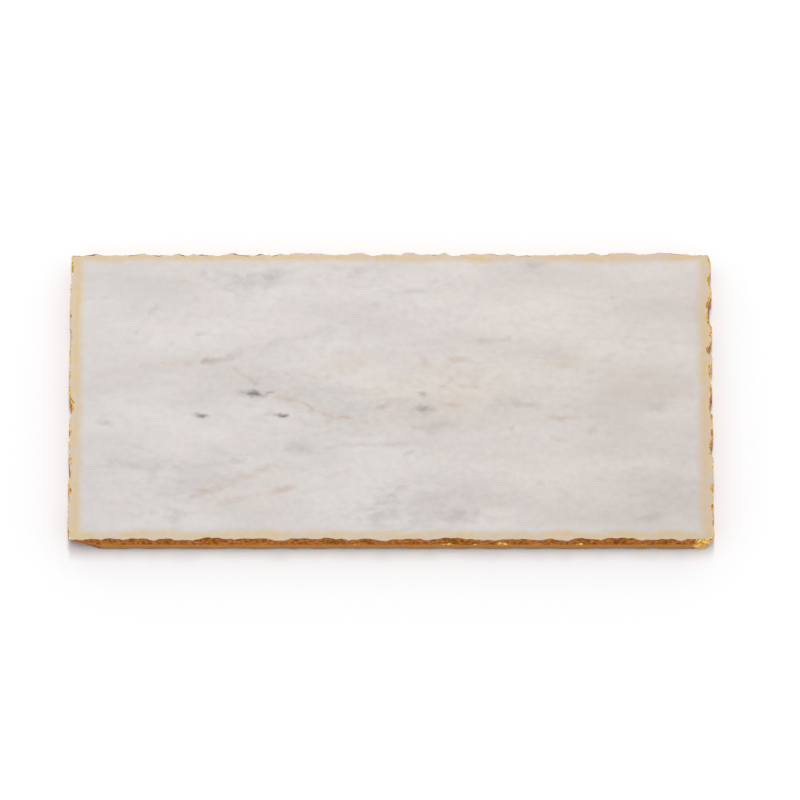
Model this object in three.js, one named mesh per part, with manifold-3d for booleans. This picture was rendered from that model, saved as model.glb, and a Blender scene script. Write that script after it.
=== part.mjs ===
// Marble vanity tray with a broken, gilded edge, on four stick-on bumpers.
//
// A strip of sheet marble is sawn part way through from below and snapped, so the lower part of the front
// and back edges is a flat sawn face, and the upper part is broken. The two ends are broken right through.
// A chisel has dressed all four edges in a row of shell-shaped chips, and a coat of metal leaf covers them.
// The tray rests on four clear bumpers, each held by a disc of double-sided adhesive.
//
// Millimetres. +X runs along the length, -Y is the front, +Z is up. The origin is on the surface that the
// tray rests on, under the middle of the slab.
import * as THREE from "three";
import { mergeVertices } from "three/addons/utils/BufferGeometryUtils.js";
import Module from "manifold-3d";

// ---- Driving dimensions ----
const LENGTH = 381; // over the widest part of the edges, left to right
const WIDTH = 178; // over the sawn faces, front to back
const SLAB_THICKNESS = 16;
const SAWN_HEIGHT = 8.5; // of the flat sawn face, from the underside
const LEDGE_RISE = 2.4; // the height in which the broken face steps away from the sawn one

const LEAF_THICKNESS = 0.2; // of the gilding: size, leaf and lacquer together
const LEAF_CLEARANCE = 0.05; // between the stone and the gilding

const CHIP_REACH = [0.8, 1.1]; // how far down the broken face a chip reaches, as a share of that face
const THROUGH_REACH = [1.15, 1.4]; // the same on the ends, which are broken right through
const NICK_SPAN = [7, 16]; // small nicks along the bottom arris
const NICK_DEPTH = [0.2, 0.7];
const NICK_HEIGHT = 1.8;
const NICK_SPACING = 26;
const NICK_SEED = 200; // sets the nicks' scatter apart from the chips'

const SWAY_LONG = 57; // the two wavelengths in which a broken face sways along its edge
const SWAY_SHORT = 23;
const SWAY_SHORT_SHARE = 0.6; // of the long wave's height

const BUMPER_DIAMETER = 10;
const BUMPER_SHOULDER = 1.3; // width of the rounding between the flat foot and the rim
const BUMPER_HEIGHT = 1.5;
const ADHESIVE_MARGIN = 0.5; // how far the bumper's rim reaches past its adhesive
const ADHESIVE_THICKNESS = 0.2;
const BUMPER_INSET = 30; // from each edge to a bumper's centre

const COLUMN_STEP = 5; // spacing of the vertices along the edge
const CORNER_ROUNDS = 6; // of settling how two faces meet at a corner
const CUT_OVERRUN = 1; // how far a cutting solid runs past the faces it cuts through
const ROUND_SEGMENTS = 24;
const SHOULDER_SEGMENTS = 4;

// ---- Heights worked out from them ----
const SLAB_BOTTOM = BUMPER_HEIGHT + ADHESIVE_THICKNESS;
const SLAB_TOP = SLAB_BOTTOM + SLAB_THICKNESS;
const SAWN_TOP = SLAB_BOTTOM + SAWN_HEIGHT;
const BROKEN_HEIGHT = SLAB_TOP - SAWN_TOP;
const EDGE_LEVELS = [
  SLAB_BOTTOM,
  SLAB_BOTTOM + NICK_HEIGHT,
  SAWN_TOP,
  SAWN_TOP + LEDGE_RISE,
  SLAB_TOP,
];

// ---- The four edges, anticlockwise from above ----
// start is the corner that the edge runs from, along and inward are its directions, and sawn says whether
// its lower part is a sawn face. setback is how far the broken face stands in from the widest part on
// average, and sway is how much that changes along the edge. Each chip has its place along the edge, its
// span and its depth.
const EDGES = [
  {
    start: [-1, -1], along: [1, 0], inward: [0, 1], length: LENGTH,
    sawn: true, setback: 0.9, sway: 0.15, seed: 11,
    chips: [
      [13, 16, 0.7], [26, 12, 1.2], [44, 14, 0.3], [61, 18, 0.4], [86, 22, 1.4], [110.5, 24, 1.2],
      [139, 19, 1.0], [158, 12, 0.3], [175, 18, 1.1], [195, 10, 0.7], [206, 17, 0.8], [227.5, 18, 0.7],
      [240, 15, 0.7], [262, 18, 0.4], [282, 22, 0.7], [304.5, 17, 1.2], [324, 22, 1.5], [349, 18, 0.8],
      [373, 22, 0.8],
    ],
  },
  {
    start: [1, -1], along: [0, 1], inward: [-1, 0], length: WIDTH,
    sawn: false, setback: 0.1, sway: 0.4, seed: 23,
    chips: [
      [14, 16, 0.5], [31, 13, 0.6], [45, 12, 0.4], [58, 14, 2.0], [84, 13, 2.3], [102, 20, 1.3],
      [123, 14, 1.0], [143, 22, 2.6], [167, 24, 1.1],
    ],
  },
  {
    start: [1, 1], along: [-1, 0], inward: [0, -1], length: LENGTH,
    sawn: true, setback: 0.1, sway: 0.1, seed: 37,
    chips: [
      [5, 42, 1.8], [38, 24, 0.6], [65, 10, 1.6], [76, 12, 1.3], [89.5, 11, 0.7], [101, 10, 1.4],
      [112, 14, 1.7], [126, 14, 1.3], [137, 14, 1.3], [149, 18, 2.0], [172.5, 13, 1.1], [186.5, 11, 1.6],
      [201, 14, 1.6], [219, 16, 1.5], [235, 12, 0.6], [251, 13, 1.2], [262, 13, 1.5], [276, 20, 1.9],
      [291, 16, 1.2], [308, 14, 1.4], [327, 17, 1.8], [347, 22, 1.9], [361, 16, 1.8], [376, 22, 2.0],
    ],
  },
  {
    start: [-1, 1], along: [0, -1], inward: [1, 0], length: WIDTH,
    sawn: false, setback: 0.1, sway: 0.4, seed: 53,
    chips: [
      [12, 18, 0.6], [27, 10, 0.4], [47, 18, 1.0], [66, 14, 0.4], [82, 12, 0.3], [97, 17, 1.7],
      [112, 9, 0.8], [120, 8, 0.5], [134, 11, 1.1], [149, 14, 0.7], [164, 13, 0.5],
    ],
  },
];

// Flakes that broke off at the corners. reach is the distance from the corner where the flake runs out, and
// it cuts in by atTop at the top of the corner and by atBottom at the underside.
const CORNER_FLAKES = [
  { edge: 0, end: "start", reach: 20, atTop: 0, atBottom: 5.5 }, // front left, from below
  { edge: 3, end: "end", reach: 9, atTop: 2.7, atBottom: 2.7 }, // front left, round the corner
  { edge: 0, end: "end", reach: 15, atTop: 2.6, atBottom: 1 }, // front right, from above
  { edge: 1, end: "start", reach: 13, atTop: 0.4, atBottom: 5.5 }, // front right, round the corner
  { edge: 3, end: "start", reach: 5, atTop: 2.4, atBottom: 2.4 }, // back left
  { edge: 2, end: "end", reach: 5, atTop: 2.2, atBottom: 2.2 }, // back left, round the corner
];

// A repeatable number from 0 to 1 for each whole number.
function scatter(n) {
  const wave = Math.sin(n * 12.9898 + 78.233) * 43758.5453;
  return wave - Math.floor(wave);
}

function between([low, high], share) {
  return low + (high - low) * share;
}

// The chips of one edge as scoops. On an edge longer than its list of chips, the list starts again at its
// end.
function chipRow({ chips, sawn, length, seed }) {
  const [lastCentre, lastSpan] = chips.at(-1);
  const run = lastCentre + lastSpan / 2;
  const face = sawn ? BROKEN_HEIGHT : SLAB_THICKNESS;
  const reach = sawn ? CHIP_REACH : THROUGH_REACH;
  return Array.from({ length: Math.ceil(length / run) }, (_, repeat) =>
    chips.map(([centre, span, depth], i) => ({
      centre: centre + repeat * run,
      span,
      depth,
      height: face * between(reach, scatter(seed + i)),
    })),
  ).flat();
}

// Nicks in the bottom arris, one for each stretch of NICK_SPACING.
function nickRow({ length, seed }) {
  return Array.from({ length: Math.floor(length / NICK_SPACING) }, (_, i) => {
    const n = seed + NICK_SEED + 3 * i;
    return {
      centre: (i + scatter(n)) * NICK_SPACING,
      span: between(NICK_SPAN, scatter(n + 1)),
      depth: between(NICK_DEPTH, scatter(n + 2)),
      height: NICK_HEIGHT,
    };
  });
}

for (const edge of EDGES) {
  edge.scoops = chipRow(edge);
  edge.nicks = nickRow(edge);
}

// How deep an ellipsoidal scoop is at a place on the edge, fromCentre being measured up or down from its
// centre.
function scoopDepth(scoop, along, fromCentre) {
  const u = (2 * (along - scoop.centre)) / scoop.span;
  const v = fromCentre / scoop.height;
  return scoop.depth * Math.sqrt(Math.max(0, 1 - u * u - v * v));
}

function deepest(scoops, along, fromCentre) {
  return Math.max(0, ...scoops.map((scoop) => scoopDepth(scoop, along, fromCentre)));
}

function flakeDepth(edgeIndex, along, height) {
  const { length } = EDGES[edgeIndex];
  const rise = (height - SLAB_BOTTOM) / SLAB_THICKNESS;
  const depths = CORNER_FLAKES.filter((flake) => flake.edge === edgeIndex).map((flake) => {
    const fromCorner = flake.end === "start" ? along : length - along;
    return between([flake.atBottom, flake.atTop], rise) * Math.max(0, 1 - fromCorner / flake.reach);
  });
  return Math.max(0, ...depths);
}

function swayAt({ sway, seed }, along) {
  const long = Math.sin((2 * Math.PI * along) / SWAY_LONG + seed);
  const short = Math.sin((2 * Math.PI * along) / SWAY_SHORT + 2 * seed);
  return (sway * (long + SWAY_SHORT_SHARE * short)) / (1 + SWAY_SHORT_SHARE);
}

// How far the gilded surface stands in from the widest part, at a place along an edge and a height.
function setbackAt(edgeIndex, along, height) {
  const edge = EDGES[edgeIndex];
  const flake = flakeDepth(edgeIndex, along, height);
  const nick = deepest(edge.nicks, along, height - SLAB_BOTTOM);
  if (edge.sawn && height <= SAWN_TOP) return Math.max(flake, nick);
  const plain = Math.max(0, edge.setback + swayAt(edge, along));
  return Math.max(flake, nick, plain + deepest(edge.scoops, along, SLAB_TOP - height));
}

// The corner where an edge starts, at a height: how far in each of the two faces that meet there stands.
function cornerAt(edgeIndex, height) {
  const before = (edgeIndex + 3) % 4;
  let previous = 0;
  let own = 0;
  for (let round = 0; round < CORNER_ROUNDS; round++) {
    previous = setbackAt(before, EDGES[before].length - own, height);
    own = setbackAt(edgeIndex, previous, height);
  }
  return { previous, own };
}

// One closed row of points around the tray at a height, each inset from the gilded surface.
function outlineAt(height, inset) {
  return EDGES.flatMap((edge, index) => {
    const columns = Math.round(edge.length / COLUMN_STEP);
    const corner = cornerAt(index, height);
    const last = edge.length - cornerAt((index + 1) % 4, height).own;
    return Array.from({ length: columns }, (_, i) => {
      let along = between([corner.previous, last], i / columns);
      const into = (i === 0 ? corner.own : setbackAt(index, along, height)) + inset;
      if (i === 0) along += inset;
      return new THREE.Vector2(
        (edge.start[0] * LENGTH) / 2 + edge.along[0] * along + edge.inward[0] * into,
        (edge.start[1] * WIDTH) / 2 + edge.along[1] * along + edge.inward[1] * into,
      );
    });
  });
}

// The whole tray without its bumpers, as one solid that stands in from the gilded surface by inset and runs
// past the top face and the underside by overrun. LatheGeometry makes its rings, which are laid on the
// outlines.
function block(inset, overrun = 0) {
  const levels = overrun ? [SLAB_BOTTOM, ...EDGE_LEVELS, SLAB_TOP] : EDGE_LEVELS;
  const outlines = levels.map((level) => outlineAt(level, inset));
  const heights = levels.map((level, i) => {
    if (i === 0) return level - overrun;
    return i === levels.length - 1 ? level + overrun : level;
  });
  const profile = [0, ...heights.map(() => 1), 0].map((radius) => new THREE.Vector2(radius, 0));
  const columns = outlines[0].length;
  const geometry = new THREE.LatheGeometry(profile, columns);
  const position = geometry.getAttribute("position");
  for (let column = 0; column <= columns; column++) {
    const first = column * profile.length;
    position.setXYZ(first, 0, 0, heights[0]);
    outlines.forEach((outline, row) => {
      const { x, y } = outline[column % columns];
      position.setXYZ(first + 1 + row, x, y, heights[row]);
    });
    position.setXYZ(first + profile.length - 1, 0, 0, heights.at(-1));
  }
  geometry.computeVertexNormals();
  return geometry;
}

const wasm = await Module();
wasm.setup();

function toSolid(geometry) {
  const bare = geometry.clone();
  bare.deleteAttribute("normal");
  bare.deleteAttribute("uv");
  const merged = mergeVertices(bare);
  const vertProperties = merged.getAttribute("position").array;
  return new wasm.Manifold(new wasm.Mesh({ numProp: 3, vertProperties, triVerts: merged.index.array }));
}

function toGeometry(solid) {
  const { vertProperties, triVerts } = solid.getMesh();
  const geometry = new THREE.BufferGeometry();
  geometry.setAttribute("position", new THREE.BufferAttribute(vertProperties, 3));
  geometry.setIndex(new THREE.BufferAttribute(triVerts, 1));
  geometry.computeVertexNormals();
  return geometry;
}

// The gilding is a ring of even thickness, open at the top face and the underside.
function gildedEdge() {
  const core = toSolid(block(LEAF_THICKNESS, CUT_OVERRUN));
  return toGeometry(toSolid(block(0)).subtract(core));
}

// A low dome with a flat foot: its flat face is down, and it is widest where it meets the adhesive.
function bumper() {
  const flatRadius = BUMPER_DIAMETER / 2 - BUMPER_SHOULDER;
  const shoulder = new THREE.EllipseCurve(
    flatRadius,
    BUMPER_HEIGHT,
    BUMPER_SHOULDER,
    BUMPER_HEIGHT,
    -Math.PI / 2,
    0,
  );
  const profile = [
    new THREE.Vector2(0, 0),
    ...shoulder.getPoints(SHOULDER_SEGMENTS),
    new THREE.Vector2(0, BUMPER_HEIGHT),
  ];
  return new THREE.LatheGeometry(profile, ROUND_SEGMENTS).rotateX(Math.PI / 2);
}

function adhesiveDisc() {
  const radius = BUMPER_DIAMETER / 2 - ADHESIVE_MARGIN;
  const disc = new THREE.CylinderGeometry(radius, radius, ADHESIVE_THICKNESS, ROUND_SEGMENTS);
  return disc.rotateX(Math.PI / 2);
}

const marble = new THREE.MeshStandardMaterial({ color: 0xdad6d2, roughness: 0.35 });
const brassLeaf = new THREE.MeshStandardMaterial({ color: 0xd9a550, roughness: 0.35, metalness: 1 });
const clearSilicone = new THREE.MeshStandardMaterial({ color: 0xe8e8e4, roughness: 0.3 });
const adhesiveFilm = new THREE.MeshStandardMaterial({ color: 0xd8d2c4, roughness: 0.6 });

const tray = new THREE.Group();

function addPiece(name, geometry, material, position = [0, 0, 0]) {
  const mesh = new THREE.Mesh(geometry, material);
  mesh.name = name;
  mesh.position.set(...position);
  tray.add(mesh);
}

addPiece("marble_slab", block(LEAF_THICKNESS + LEAF_CLEARANCE), marble);
addPiece("gilded_edge", gildedEdge(), brassLeaf);

for (const [side, x] of [["left", -1], ["right", 1]]) {
  for (const [end, y] of [["front", -1], ["back", 1]]) {
    const centre = [x * (LENGTH / 2 - BUMPER_INSET), y * (WIDTH / 2 - BUMPER_INSET)];
    const middle = BUMPER_HEIGHT + ADHESIVE_THICKNESS / 2;
    addPiece(`bumper_${end}_${side}`, bumper(), clearSilicone, [...centre, 0]);
    addPiece(`adhesive_${end}_${side}`, adhesiveDisc(), adhesiveFilm, [...centre, middle]);
  }
}

export default tray;
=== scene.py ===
import math

import bmesh
import bpy
import numpy as np
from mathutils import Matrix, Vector, noise


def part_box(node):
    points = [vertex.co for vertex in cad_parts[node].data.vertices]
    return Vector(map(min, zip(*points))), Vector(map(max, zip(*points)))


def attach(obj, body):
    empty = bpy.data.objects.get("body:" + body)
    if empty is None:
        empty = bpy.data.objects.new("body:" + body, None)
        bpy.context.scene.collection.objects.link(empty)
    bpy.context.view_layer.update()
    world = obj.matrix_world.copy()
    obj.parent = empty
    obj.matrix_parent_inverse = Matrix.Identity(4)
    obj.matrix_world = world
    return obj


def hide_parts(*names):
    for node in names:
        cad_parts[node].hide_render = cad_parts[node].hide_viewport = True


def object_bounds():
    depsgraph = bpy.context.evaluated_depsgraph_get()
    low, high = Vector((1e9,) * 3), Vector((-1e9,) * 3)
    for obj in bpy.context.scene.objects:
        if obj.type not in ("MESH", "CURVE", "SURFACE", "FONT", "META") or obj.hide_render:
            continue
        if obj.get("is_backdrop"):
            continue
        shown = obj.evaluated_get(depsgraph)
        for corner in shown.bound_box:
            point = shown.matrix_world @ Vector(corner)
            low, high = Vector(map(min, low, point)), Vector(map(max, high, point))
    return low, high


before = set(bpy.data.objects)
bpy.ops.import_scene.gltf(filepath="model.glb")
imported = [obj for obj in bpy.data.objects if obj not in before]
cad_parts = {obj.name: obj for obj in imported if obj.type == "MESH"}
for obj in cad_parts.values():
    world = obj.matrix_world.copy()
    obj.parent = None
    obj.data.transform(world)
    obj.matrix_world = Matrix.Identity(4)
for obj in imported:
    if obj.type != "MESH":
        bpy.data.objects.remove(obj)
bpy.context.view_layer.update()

# ==== The broken block ====
# A strip of marble is sawn part way through from below and snapped, so the front and back edges are flat
# below and broken above, and the ends are broken right through. A chisel has dressed them in shell-shaped
# chips. Stone and gilding share this form, so it is worked out once, as its setback from the widest part.

MM = 0.001
block_low, block_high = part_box("gilded_edge")
LENGTH = block_high.x - block_low.x
WIDTH = block_high.y - block_low.y
BOTTOM = block_low.z
TOP = block_high.z

SAWN_TOP = BOTTOM + 8.5 * MM
LEDGE_TOP = SAWN_TOP + 2.4 * MM

# How far down a chip reaches, as a share of the broken face, on the sawn edges and on the broken ends. A
# chip is steeper at one end than at the other by its skew, and fuller than a cone by its power.
CHIP_REACH = (0.8, 1.1)
THROUGH_REACH = (1.15, 1.4)
CHIP_SKEW = 0.7
CHIP_POWER = 0.7

# Small nicks along the bottom arris.
NICK_SPAN = (7 * MM, 16 * MM)
NICK_DEPTH = (0.2 * MM, 0.7 * MM)
NICK_HEIGHT = 1.8 * MM
NICK_SPACING = 26 * MM
NICK_SEED = 200

# The two wavelengths in which a broken face sways, and how high the short one is beside the long one.
SWAY_LONG = 57 * MM
SWAY_SHORT = 23 * MM
SWAY_SHORT_SHARE = 0.6

# The chips are bent along the edge by up to WARP, in waves along it and up it, so none is a plain arc.
WARP = 1.2 * MM
WARP_WAVES = (2.1 * MM, 5.3 * MM, 4 * MM)

COLUMN_STEP = 0.8 * MM
CORNER_ROUNDS = 6

# The edges run anticlockwise from above. start is the corner that an edge runs from, arris is the width
# that its top arris has lost to the dressing, and bright is how much bright leaf there is over the brown
# size: partly painted light, high on the two ends and low on the front and back. Each chip has its place
# along the edge, its span and its depth. Millimetres.
EDGES = [
    dict(
        start=(-1, -1), along=(1, 0), inward=(0, 1), length=LENGTH, sawn=True,
        setback=0.9, sway=0.15, seed=11, arris=0.12, bright=0.18,
        chips=[
            (13, 16, 0.7), (26, 12, 1.2), (44, 14, 0.3), (61, 18, 0.4), (86, 22, 1.4), (110.5, 24, 1.2),
            (139, 19, 1.0), (158, 12, 0.3), (175, 18, 1.1), (195, 10, 0.7), (206, 17, 0.8),
            (227.5, 18, 0.7), (240, 15, 0.7), (262, 18, 0.4), (282, 22, 0.7), (304.5, 17, 1.2),
            (324, 22, 1.5), (349, 18, 0.8), (373, 22, 0.8),
        ],
    ),
    dict(
        start=(1, -1), along=(0, 1), inward=(-1, 0), length=WIDTH, sawn=False,
        setback=0.1, sway=0.4, seed=23, arris=1.4, bright=0.9,
        chips=[
            (14, 16, 0.5), (31, 13, 0.6), (45, 12, 0.4), (58, 14, 2.0), (84, 13, 2.3), (102, 20, 1.3),
            (123, 14, 1.0), (143, 22, 2.6), (167, 24, 1.1),
        ],
    ),
    dict(
        start=(1, 1), along=(-1, 0), inward=(0, -1), length=LENGTH, sawn=True,
        setback=0.1, sway=0.1, seed=37, arris=0.3, bright=0.12,
        chips=[
            (5, 42, 1.8), (38, 24, 0.6), (65, 10, 1.6), (76, 12, 1.3), (89.5, 11, 0.7), (101, 10, 1.4),
            (112, 14, 1.7), (126, 14, 1.3), (137, 14, 1.3), (149, 18, 2.0), (172.5, 13, 1.1),
            (186.5, 11, 1.6), (201, 14, 1.6), (219, 16, 1.5), (235, 12, 0.6), (251, 13, 1.2),
            (262, 13, 1.5), (276, 20, 1.9), (291, 16, 1.2), (308, 14, 1.4), (327, 17, 1.8),
            (347, 22, 1.9), (361, 16, 1.8), (376, 22, 2.0),
        ],
    ),
    dict(
        start=(-1, 1), along=(0, -1), inward=(1, 0), length=WIDTH, sawn=False,
        setback=0.1, sway=0.4, seed=53, arris=1.1, bright=0.8,
        chips=[
            (12, 18, 0.6), (27, 10, 0.4), (47, 18, 1.0), (66, 14, 0.4), (82, 12, 0.3), (97, 17, 1.7),
            (112, 9, 0.8), (120, 8, 0.5), (134, 11, 1.1), (149, 14, 0.7), (164, 13, 0.5),
        ],
    ),
]

# Flakes that broke off at the corners: the edge, whether at its start, the distance from the corner where
# the flake runs out, its depth at the corner at the underside and at the top, and how crumbly it broke.
CORNER_FLAKES = [
    (0, True, 20 * MM, 5.5 * MM, 0, 0),
    (3, False, 9 * MM, 2.7 * MM, 2.7 * MM, 0.3),
    (0, False, 15 * MM, 1 * MM, 2.6 * MM, 1),
    (1, True, 13 * MM, 5.5 * MM, 0.4 * MM, 1),
    (3, True, 5 * MM, 2.4 * MM, 2.4 * MM, 0),
    (2, False, 5 * MM, 2.2 * MM, 2.2 * MM, 0),
]

# A flake runs out in a ragged line, which wanders by up to FLAKE_RAG in waves up the face and along it.
FLAKE_RAG = 0.9 * MM
FLAKE_RAG_WAVES = (1.2 * MM, 3 * MM)

# The painted shade in a chip this deep is as dark as in the deepest, and a flake this deep is leafed as
# broken stone.
DEEP_CHIP = 2 * MM
BROKEN_FLAKE = 0.2 * MM


def scatter(n):
    """A share from 0 to 1 that looks random and is always the same for the same number."""
    wave = math.sin(n * 12.9898 + 78.233) * 43758.5453
    return wave - math.floor(wave)


def between(limits, share):
    return limits[0] + (limits[1] - limits[0]) * share


def chip_row(edge):
    face = TOP - SAWN_TOP if edge["sawn"] else TOP - BOTTOM
    reach = CHIP_REACH if edge["sawn"] else THROUGH_REACH
    return [
        (centre * MM, span * MM, depth * MM, face * between(reach, scatter(edge["seed"] + i)))
        for i, (centre, span, depth) in enumerate(edge["chips"])
    ]


def nick_row(edge):
    nicks = []
    for i in range(int(edge["length"] / NICK_SPACING)):
        n = edge["seed"] + NICK_SEED + 3 * i
        centre = (i + scatter(n)) * NICK_SPACING
        span = between(NICK_SPAN, scatter(n + 1))
        nicks.append((centre, span, between(NICK_DEPTH, scatter(n + 2)), NICK_HEIGHT))
    return nicks


for edge in EDGES:
    edge["scoops"] = chip_row(edge)
    edge["nicks"] = nick_row(edge)


def deepest_scoop(row, along, from_centre):
    """The deepest of a row of scoops at each place, each steeper at one end than at the other."""
    deepest = np.zeros_like(along)
    for centre, span, depth, height in row:
        u = 2 * (along - centre) / span
        u = u + CHIP_SKEW * (scatter(centre / MM) - 0.5) * (1 - u * u)
        v = abs(from_centre) / height
        deepest = np.maximum(deepest, depth * np.clip(1 - u * u - v, 0, None) ** CHIP_POWER)
    return deepest


def flakes_at(index, along, height):
    """The depth of the corner flakes at each place, and how crumbly they are there."""
    rise = (height - BOTTOM) / (TOP - BOTTOM)
    deepest = np.zeros_like(along)
    crumbly = np.zeros_like(along)
    up_wave, along_wave = FLAKE_RAG_WAVES
    for edge, at_start, reach, at_bottom, at_top, rough in CORNER_FLAKES:
        if edge == index:
            from_corner = along if at_start else EDGES[index]["length"] - along
            ragged = FLAKE_RAG * np.sin(height / up_wave + along / along_wave)
            share = np.clip(1 - (from_corner + ragged) / reach, 0, None)
            deepest = np.maximum(deepest, between((at_bottom, at_top), rise) * share)
            crumbly = np.maximum(crumbly, rough * np.clip(share * 3, 0, 1))
    return deepest, crumbly


def above_ledge(index, height):
    """From 0 to 1, how far the snapped face has got from the sawn face's edge to its own depth."""
    return np.clip((height - SAWN_TOP) / (LEDGE_TOP - SAWN_TOP), 0, 1) if EDGES[index]["sawn"] else 1


def form_at(index, along, height):
    """The setback, and from 0 to 1 how hollow, how broken and how crumbly the surface is there."""
    edge = EDGES[index]
    flake, crumbly = flakes_at(index, along, height)
    nicks = deepest_scoop(edge["nicks"], along, height - BOTTOM)
    short, long, rise = WARP_WAVES
    warped = along + WARP * np.sin(along / short) * np.sin(along / long + height / rise)
    chips = deepest_scoop(edge["scoops"], warped, TOP - height)
    long_wave = np.sin(2 * math.pi * along / SWAY_LONG + edge["seed"])
    short_wave = np.sin(2 * math.pi * along / SWAY_SHORT + 2 * edge["seed"])
    sway = (long_wave + SWAY_SHORT_SHARE * short_wave) / (1 + SWAY_SHORT_SHARE)
    plain = np.clip(edge["setback"] + edge["sway"] * sway, 0, None) * MM
    is_broken = (height > SAWN_TOP + 1e-6) | (not edge["sawn"])
    setback = np.maximum(np.maximum(flake, nicks), (plain + chips) * above_ledge(index, height))
    # hollow sets the painted shade in the chip hollows.
    hollow = np.clip(chips / DEEP_CHIP, 0, 1) * is_broken
    return setback, hollow, np.maximum(is_broken, flake > BROKEN_FLAKE), crumbly


def corner_at(index, height):
    """How far in the previous face and the edge's own face stand at the corner where the edge starts."""
    before = (index + 3) % 4
    previous = np.zeros_like(height)
    own = np.zeros_like(height)
    for _ in range(CORNER_ROUNDS):
        previous = form_at(before, EDGES[before]["length"] - own, height)[0]
        own = form_at(index, previous, height)[0]
    return previous, own


# The rows of the wall are close together where the form changes fast: by the nicks, at the ledge and above.
ROWS = (0, 6, 12, 16, 32)
ROW_HEIGHTS = (BOTTOM, BOTTOM + NICK_HEIGHT, SAWN_TOP, LEDGE_TOP, TOP)

# A broken face has lumps, pimples, facets and grains. The facets and grains are deepest where the marble
# crumbled, and shallowest where it broke clean. A sawn face has only a faint ripple.
LUMP_SIZE = 6 * MM
LUMP_DEPTH = 0.6 * MM
PIMPLE_SIZE = 2.5 * MM
PIMPLE_DEPTH = 0.25 * MM
FACET_SIZE = 4.5 * MM
FACET_DEPTH = (0.6 * MM, 1.8 * MM)
GRAIN_SIZE = 1.8 * MM
GRAIN_DEPTH = (0.25 * MM, 1.15 * MM)
RIPPLE_SIZE = 4 * MM
RIPPLE_DEPTH = 0.02 * MM


def crumble(point, broken, crumbly):
    """How far the facets and grains of a marble face stand in, each being highest at its middle."""
    if not broken:
        return RIPPLE_DEPTH * noise.noise(point / RIPPLE_SIZE)
    lump = LUMP_DEPTH * noise.noise(point / LUMP_SIZE) + PIMPLE_DEPTH * noise.noise(point / PIMPLE_SIZE)
    facet = noise.voronoi(point / FACET_SIZE)[0][0] ** 2 - 0.2
    grain = noise.voronoi(point / GRAIN_SIZE)[0][0] ** 2 - 0.2
    return lump - between(FACET_DEPTH, crumbly) * facet - between(GRAIN_DEPTH, crumbly) * grain


def broken_walls(inset):
    """The four walls as one open band, with point attributes for how the leaf lies on it, and for its
    painted shade and glints.
    """
    bm = bmesh.new()
    bmesh.ops.create_cube(bm, size=1)
    bmesh.ops.translate(bm, vec=(0.5, 0.5, 0.5), verts=bm.verts)
    caps = [face for face in bm.faces if abs(face.normal.z) > 0.5]
    bmesh.ops.delete(bm, geom=caps, context="FACES_ONLY")
    columns = (round(LENGTH / COLUMN_STEP), round(WIDTH / COLUMN_STEP), ROWS[-1])
    for axis in (2, 0, 1):
        edges = [e for e in bm.edges if abs(e.verts[0].co[axis] - e.verts[1].co[axis]) > 0.5]
        bmesh.ops.subdivide_edges(bm, edges=edges, cuts=columns[axis] - 1, use_grid_fill=True)
    lay_walls(bm, inset)
    return bm


# The dressing has rubbed the top arris off for ARRIS_HEIGHT, in patches of RUB_SIZE. Bright leaf is painted
# within LIPPED of the top as painted light, and within GLINTS of the ledge as painted glints. DEEP_BRIGHT
# is how bright it lies low down, on a broken end and on a sawn edge.
ARRIS_HEIGHT = 0.9 * MM
RUB_SIZE = 2 * MM
LIPPED = 3 * MM
GLINTS = 1.6 * MM
DEEP_BRIGHT = (0.4, 0.2)


def lay_walls(bm, inset):
    """Moves a unit cube's walls onto the four faces, inset from the gilded surface."""
    layers = {name: bm.verts.layers.float.new(name) for name in ("hollow", "broken", "bright", "ledge")}
    points = np.array([vert.co[:] for vert in bm.verts])
    heights = np.interp(points[:, 2] * ROWS[-1], ROWS, ROW_HEIGHTS)
    shares = (points[:, 0], points[:, 1], 1 - points[:, 0], 1 - points[:, 1])
    inwards = (points[:, 1], 1 - points[:, 0], 1 - points[:, 1], points[:, 0])
    verts = list(bm.verts)
    for index, edge in enumerate(EDGES):
        on_wall = np.nonzero((inwards[index] < 1e-5) & (shares[index] < 1 - 1e-5))[0]
        share = shares[index][on_wall]
        height = heights[on_wall]
        previous, own = corner_at(index, height)
        last = edge["length"] - corner_at((index + 1) % 4, height)[1]
        along = previous + (last - previous) * share
        into, hollow, broken, crumbly = form_at(index, along, height)
        at_corner = share < 1e-5
        into = np.where(at_corner, own, into) + inset
        along = along + np.where(at_corner, inset, 0)
        for i, vert_index in enumerate(on_wall):
            vert = verts[vert_index]
            outward = -Vector((*edge["inward"], 0))
            base = Vector((edge["start"][0] * LENGTH / 2, edge["start"][1] * WIDTH / 2, height[i]))
            on_sawn = base + Vector((*edge["along"], 0)) * along[i]
            crumbs = 0 if at_corner[i] else crumble(on_sawn, broken[i], crumbly[i])
            crumbs *= max(above_ledge(index, height[i]), crumbly[i])
            wander = 0.5 + noise.noise(on_sawn / LUMP_SIZE) + 0.5 * noise.noise(on_sawn / RUB_SIZE)
            worn = max(0, edge["arris"] * MM * wander) * max(0, 1 - (TOP - height[i]) / ARRIS_HEIGHT)
            worn = 0 if at_corner[i] else worn
            vert.co = on_sawn - outward * (max(into[i] + crumbs, inset) + worn)
            vert[layers["hollow"]] = hollow[i]
            vert[layers["broken"]] = broken[i]
            # Painted light: the leaf is brighter near the top arris, most on the ends.
            by_arris = max(0, 1 - (TOP - height[i]) / LIPPED)
            bright = between((DEEP_BRIGHT[edge["sawn"]], edge["bright"]), by_arris)
            low_down = 1 - 0.5 * (height[i] - BOTTOM) / (TOP - BOTTOM)
            vert[layers["bright"]] = max(bright, crumbly[i] * low_down)
            # Painted glints: bright leaf along the ledge of a sawn edge.
            near_ledge = max(0, 1 - abs(height[i] - SAWN_TOP) / GLINTS)
            vert[layers["ledge"]] = near_ledge if edge["sawn"] else 0


SHARP_ANGLE = math.radians(35)


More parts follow.
